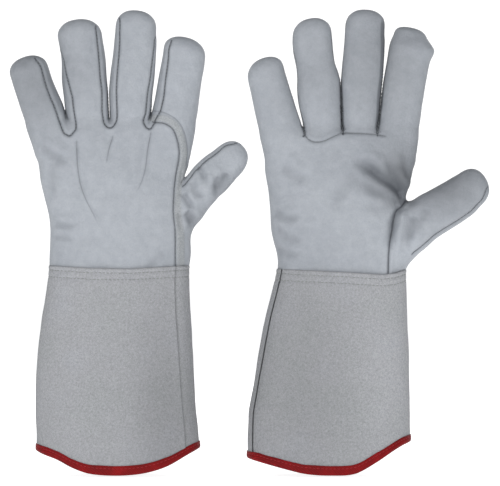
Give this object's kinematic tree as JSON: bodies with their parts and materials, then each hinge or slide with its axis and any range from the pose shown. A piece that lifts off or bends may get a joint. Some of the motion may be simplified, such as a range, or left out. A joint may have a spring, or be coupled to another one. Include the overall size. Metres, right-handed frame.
{
  "type": "welding gloves",
  "caption": "Pair of leather welding gauntlets, soft grain-leather hands with sewn-in side strips and flared split-leather cuffs bound in red tape; fingers and thumbs bend.",
  "frame": {"origin": "middle of the left cuff's mouth, level with the hem's lowest point, where the left forearm leaves the glove", "axes": "+Z from the hem to the fingertips, +X towards the thumbs and from the left glove to the right one, -Y the side on which the left glove shows its back and the right glove its palm"},
  "size_m": [0.3651, 0.072, 0.3534],
  "materials": {
    "grain_leather": "soft matt grain leather",
    "split_leather": "napped split leather",
    "red_binding": "woven tape with a slight sheen",
    "thread": "spun sewing thread"
  },
  "bodies": {
    "left_glove": {"left_cuff_back_panel": "split_leather", "left_cuff_palm_panel": "split_leather", "left_hem_binding": "red_binding", "left_cuff_seam_thread": "thread", "left_hand_trunk": "grain_leather", "left_thumb_panel": "grain_leather", "left_crotch_piece_1": "grain_leather", "left_crotch_piece_2": "grain_leather", "left_crotch_piece_3": "grain_leather"},
    "left_little_finger": {"left_little_wrap": "grain_leather", "left_little_strip_inner": "grain_leather"},
    "left_ring_finger": {"left_ring_back": "grain_leather", "left_ring_front": "grain_leather", "left_ring_strip_outer": "grain_leather", "left_ring_strip_inner": "grain_leather"},
    "left_middle_finger": {"left_middle_back": "grain_leather", "left_middle_front": "grain_leather", "left_middle_strip_outer": "grain_leather", "left_middle_strip_inner": "grain_leather"},
    "left_index_finger": {"left_index_wrap": "grain_leather", "left_index_strip_outer": "grain_leather"},
    "left_thumb": {"left_thumb_back": "grain_leather", "left_thumb_front": "grain_leather"},
    "right_glove": {"right_cuff_back_panel": "split_leather", "right_cuff_palm_panel": "split_leather", "right_hem_binding": "red_binding", "right_cuff_seam_thread": "thread", "right_hand_trunk": "grain_leather", "right_thumb_panel": "grain_leather", "right_crotch_piece_1": "grain_leather", "right_crotch_piece_2": "grain_leather", "right_crotch_piece_3": "grain_leather"},
    "right_little_finger": {"right_little_wrap": "grain_leather", "right_little_strip_inner": "grain_leather"},
    "right_ring_finger": {"right_ring_back": "grain_leather", "right_ring_front": "grain_leather", "right_ring_strip_outer": "grain_leather", "right_ring_strip_inner": "grain_leather"},
    "right_middle_finger": {"right_middle_back": "grain_leather", "right_middle_front": "grain_leather", "right_middle_strip_outer": "grain_leather", "right_middle_strip_inner": "grain_leather"},
    "right_index_finger": {"right_index_wrap": "grain_leather", "right_index_strip_outer": "grain_leather"},
    "right_thumb": {"right_thumb_back": "grain_leather", "right_thumb_front": "grain_leather"}
  },
  "joints": [
    {"name": "left_little_finger_bend", "type": "hinge", "parent": "left_glove", "child": "left_little_finger", "pos_m": [-0.05541, 0.01118, 0.27194], "axis": [-0.9511, 0, -0.309], "range_deg": [0, 70], "stiffness_Nm_per_rad": 0.03},
    {"name": "left_ring_finger_bend", "type": "hinge", "parent": "left_glove", "child": "left_ring_finger", "pos_m": [-0.02233, 0.01207, 0.27217], "axis": [-0.9949, 0, -0.1011], "range_deg": [0, 70], "stiffness_Nm_per_rad": 0.03},
    {"name": "left_middle_finger_bend", "type": "hinge", "parent": "left_glove", "child": "left_middle_finger", "pos_m": [0.00912, 0.01118, 0.27218], "axis": [-0.9968, 0, 0.0802], "range_deg": [0, 70], "stiffness_Nm_per_rad": 0.03},
    {"name": "left_index_finger_bend", "type": "hinge", "parent": "left_glove", "child": "left_index_finger", "pos_m": [0.0419, 0.01199, 0.27208], "axis": [-0.9774, 0, 0.2113], "range_deg": [0, 70], "stiffness_Nm_per_rad": 0.03},
    {"name": "left_thumb_bend", "type": "hinge", "parent": "left_glove", "child": "left_thumb", "pos_m": [0.06205, 0.0127, 0.21775], "axis": [-0.682, 0, 0.7314], "range_deg": [0, 50], "stiffness_Nm_per_rad": 0.03},
    {"name": "right_little_finger_bend", "type": "hinge", "parent": "right_glove", "child": "right_little_finger", "pos_m": [0.12312, -0.01147, 0.26599], "axis": [0.9588, 0, 0.284], "range_deg": [0, 70], "stiffness_Nm_per_rad": 0.03},
    {"name": "right_ring_finger_bend", "type": "hinge", "parent": "right_glove", "child": "right_ring_finger", "pos_m": [0.15553, -0.0111, 0.26616], "axis": [0.9917, 0, 0.1288], "range_deg": [0, 70], "stiffness_Nm_per_rad": 0.03},
    {"name": "right_middle_finger_bend", "type": "hinge", "parent": "right_glove", "child": "right_middle_finger", "pos_m": [0.18412, -0.01044, 0.26619], "axis": [0.9981, 0, -0.061], "range_deg": [0, 70], "stiffness_Nm_per_rad": 0.03},
    {"name": "right_index_finger_bend", "type": "hinge", "parent": "right_glove", "child": "right_index_finger", "pos_m": [0.21314, -0.01155, 0.26611], "axis": [0.9836, 0, -0.1805], "range_deg": [0, 70], "stiffness_Nm_per_rad": 0.03},
    {"name": "right_thumb_bend", "type": "hinge", "parent": "right_glove", "child": "right_thumb", "pos_m": [0.23519, -0.01318, 0.19742], "axis": [0.5446, 0, -0.8387], "range_deg": [0, 50], "stiffness_Nm_per_rad": 0.03},
    {"name": "right_glove_apart", "type": "slide", "parent": "left_glove", "child": "right_glove", "axis": [1, 0, 0], "range_m": [0, 0.3]}
  ]
}
